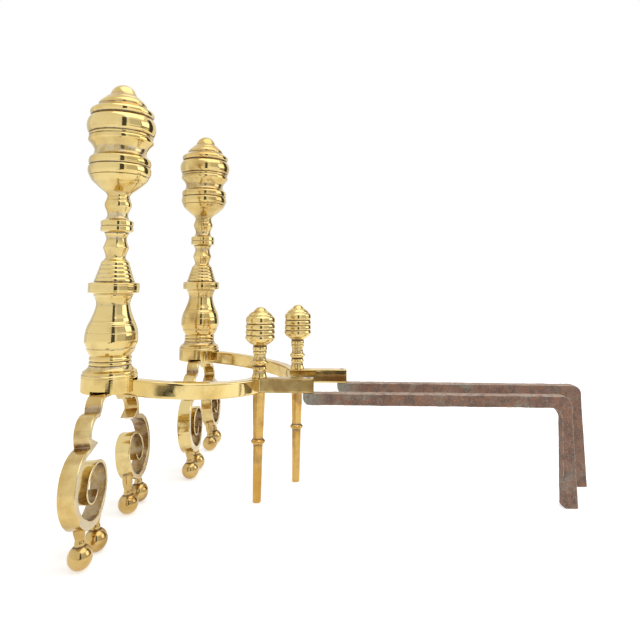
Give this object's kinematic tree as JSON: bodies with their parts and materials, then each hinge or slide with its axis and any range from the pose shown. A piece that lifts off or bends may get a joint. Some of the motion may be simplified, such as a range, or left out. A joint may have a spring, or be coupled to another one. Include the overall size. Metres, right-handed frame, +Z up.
{
  "type": "andiron pair",
  "caption": "Pair of mirrored fireplace andirons with turned columns, scroll legs on ball feet, curved shanks with log stops, and bent iron bars that hold logs off the hearth",
  "frame": {"origin": "on the hearth, at the middle of the pair's bounding box: halfway between the two columns, and halfway from the front of the right finial to the back of the left bar", "axes": "+Z up, +Y to the back of the hearth along the bars, +X to the right andiron seen from the front"},
  "size_m": [0.413, 0.5775, 0.457],
  "materials": {
    "polished_brass": "polished",
    "worn_brass": "polished, worn at the edges",
    "rusted_iron": "rusted and pitted",
    "dark_iron": "dark forged"
  },
  "bodies": {
    "right_andiron": {"right_shaft": "polished_brass", "right_collar": "polished_brass", "right_baluster": "polished_brass", "right_plinth": "polished_brass", "right_tie_rod": "dark_iron", "right_leg_out": "worn_brass", "right_leg_in": "worn_brass", "right_ball_out_far": "polished_brass", "right_ball_out_near": "polished_brass", "right_ball_in_far": "polished_brass", "right_ball_in_near": "polished_brass", "right_shank": "worn_brass", "right_mid_leg": "worn_brass", "right_bar": "rusted_iron", "right_rivet": "rusted_iron"},
    "right_finial": {"right_finial": "polished_brass"},
    "right_log_stop": {"right_log_stop": "polished_brass"},
    "left_andiron": {"left_shaft": "polished_brass", "left_collar": "polished_brass", "left_baluster": "polished_brass", "left_plinth": "polished_brass", "left_tie_rod": "dark_iron", "left_leg_out": "worn_brass", "left_leg_in": "worn_brass", "left_ball_out_far": "polished_brass", "left_ball_out_near": "polished_brass", "left_ball_in_far": "polished_brass", "left_ball_in_near": "polished_brass", "left_shank": "worn_brass", "left_mid_leg": "worn_brass", "left_bar": "rusted_iron", "left_rivet": "rusted_iron"},
    "left_finial": {"left_finial": "polished_brass"},
    "left_log_stop": {"left_log_stop": "polished_brass"}
  },
  "joints": [
    {"name": "right_finial_screw", "type": "hinge", "parent": "right_andiron", "child": "right_finial", "pos_m": [0.11, -0.25327, 0.3355], "axis": [0, 0, 1], "continuous": true},
    {"name": "right_stop_screw", "type": "hinge", "parent": "right_andiron", "child": "right_log_stop", "pos_m": [0.033, -0.10933, 0.137], "axis": [0, 0, 1], "continuous": true},
    {"name": "pair_spacing", "type": "slide", "parent": "right_andiron", "child": "left_andiron", "axis": [1, 0, 0], "range_m": [-0.15, 0.025]},
    {"name": "left_finial_screw", "type": "hinge", "parent": "left_andiron", "child": "left_finial", "pos_m": [-0.11, -0.21327, 0.3355], "axis": [0, 0, 1], "continuous": true},
    {"name": "left_stop_screw", "type": "hinge", "parent": "left_andiron", "child": "left_log_stop", "pos_m": [-0.033, -0.06932, 0.137], "axis": [0, 0, 1], "continuous": true}
  ]
}
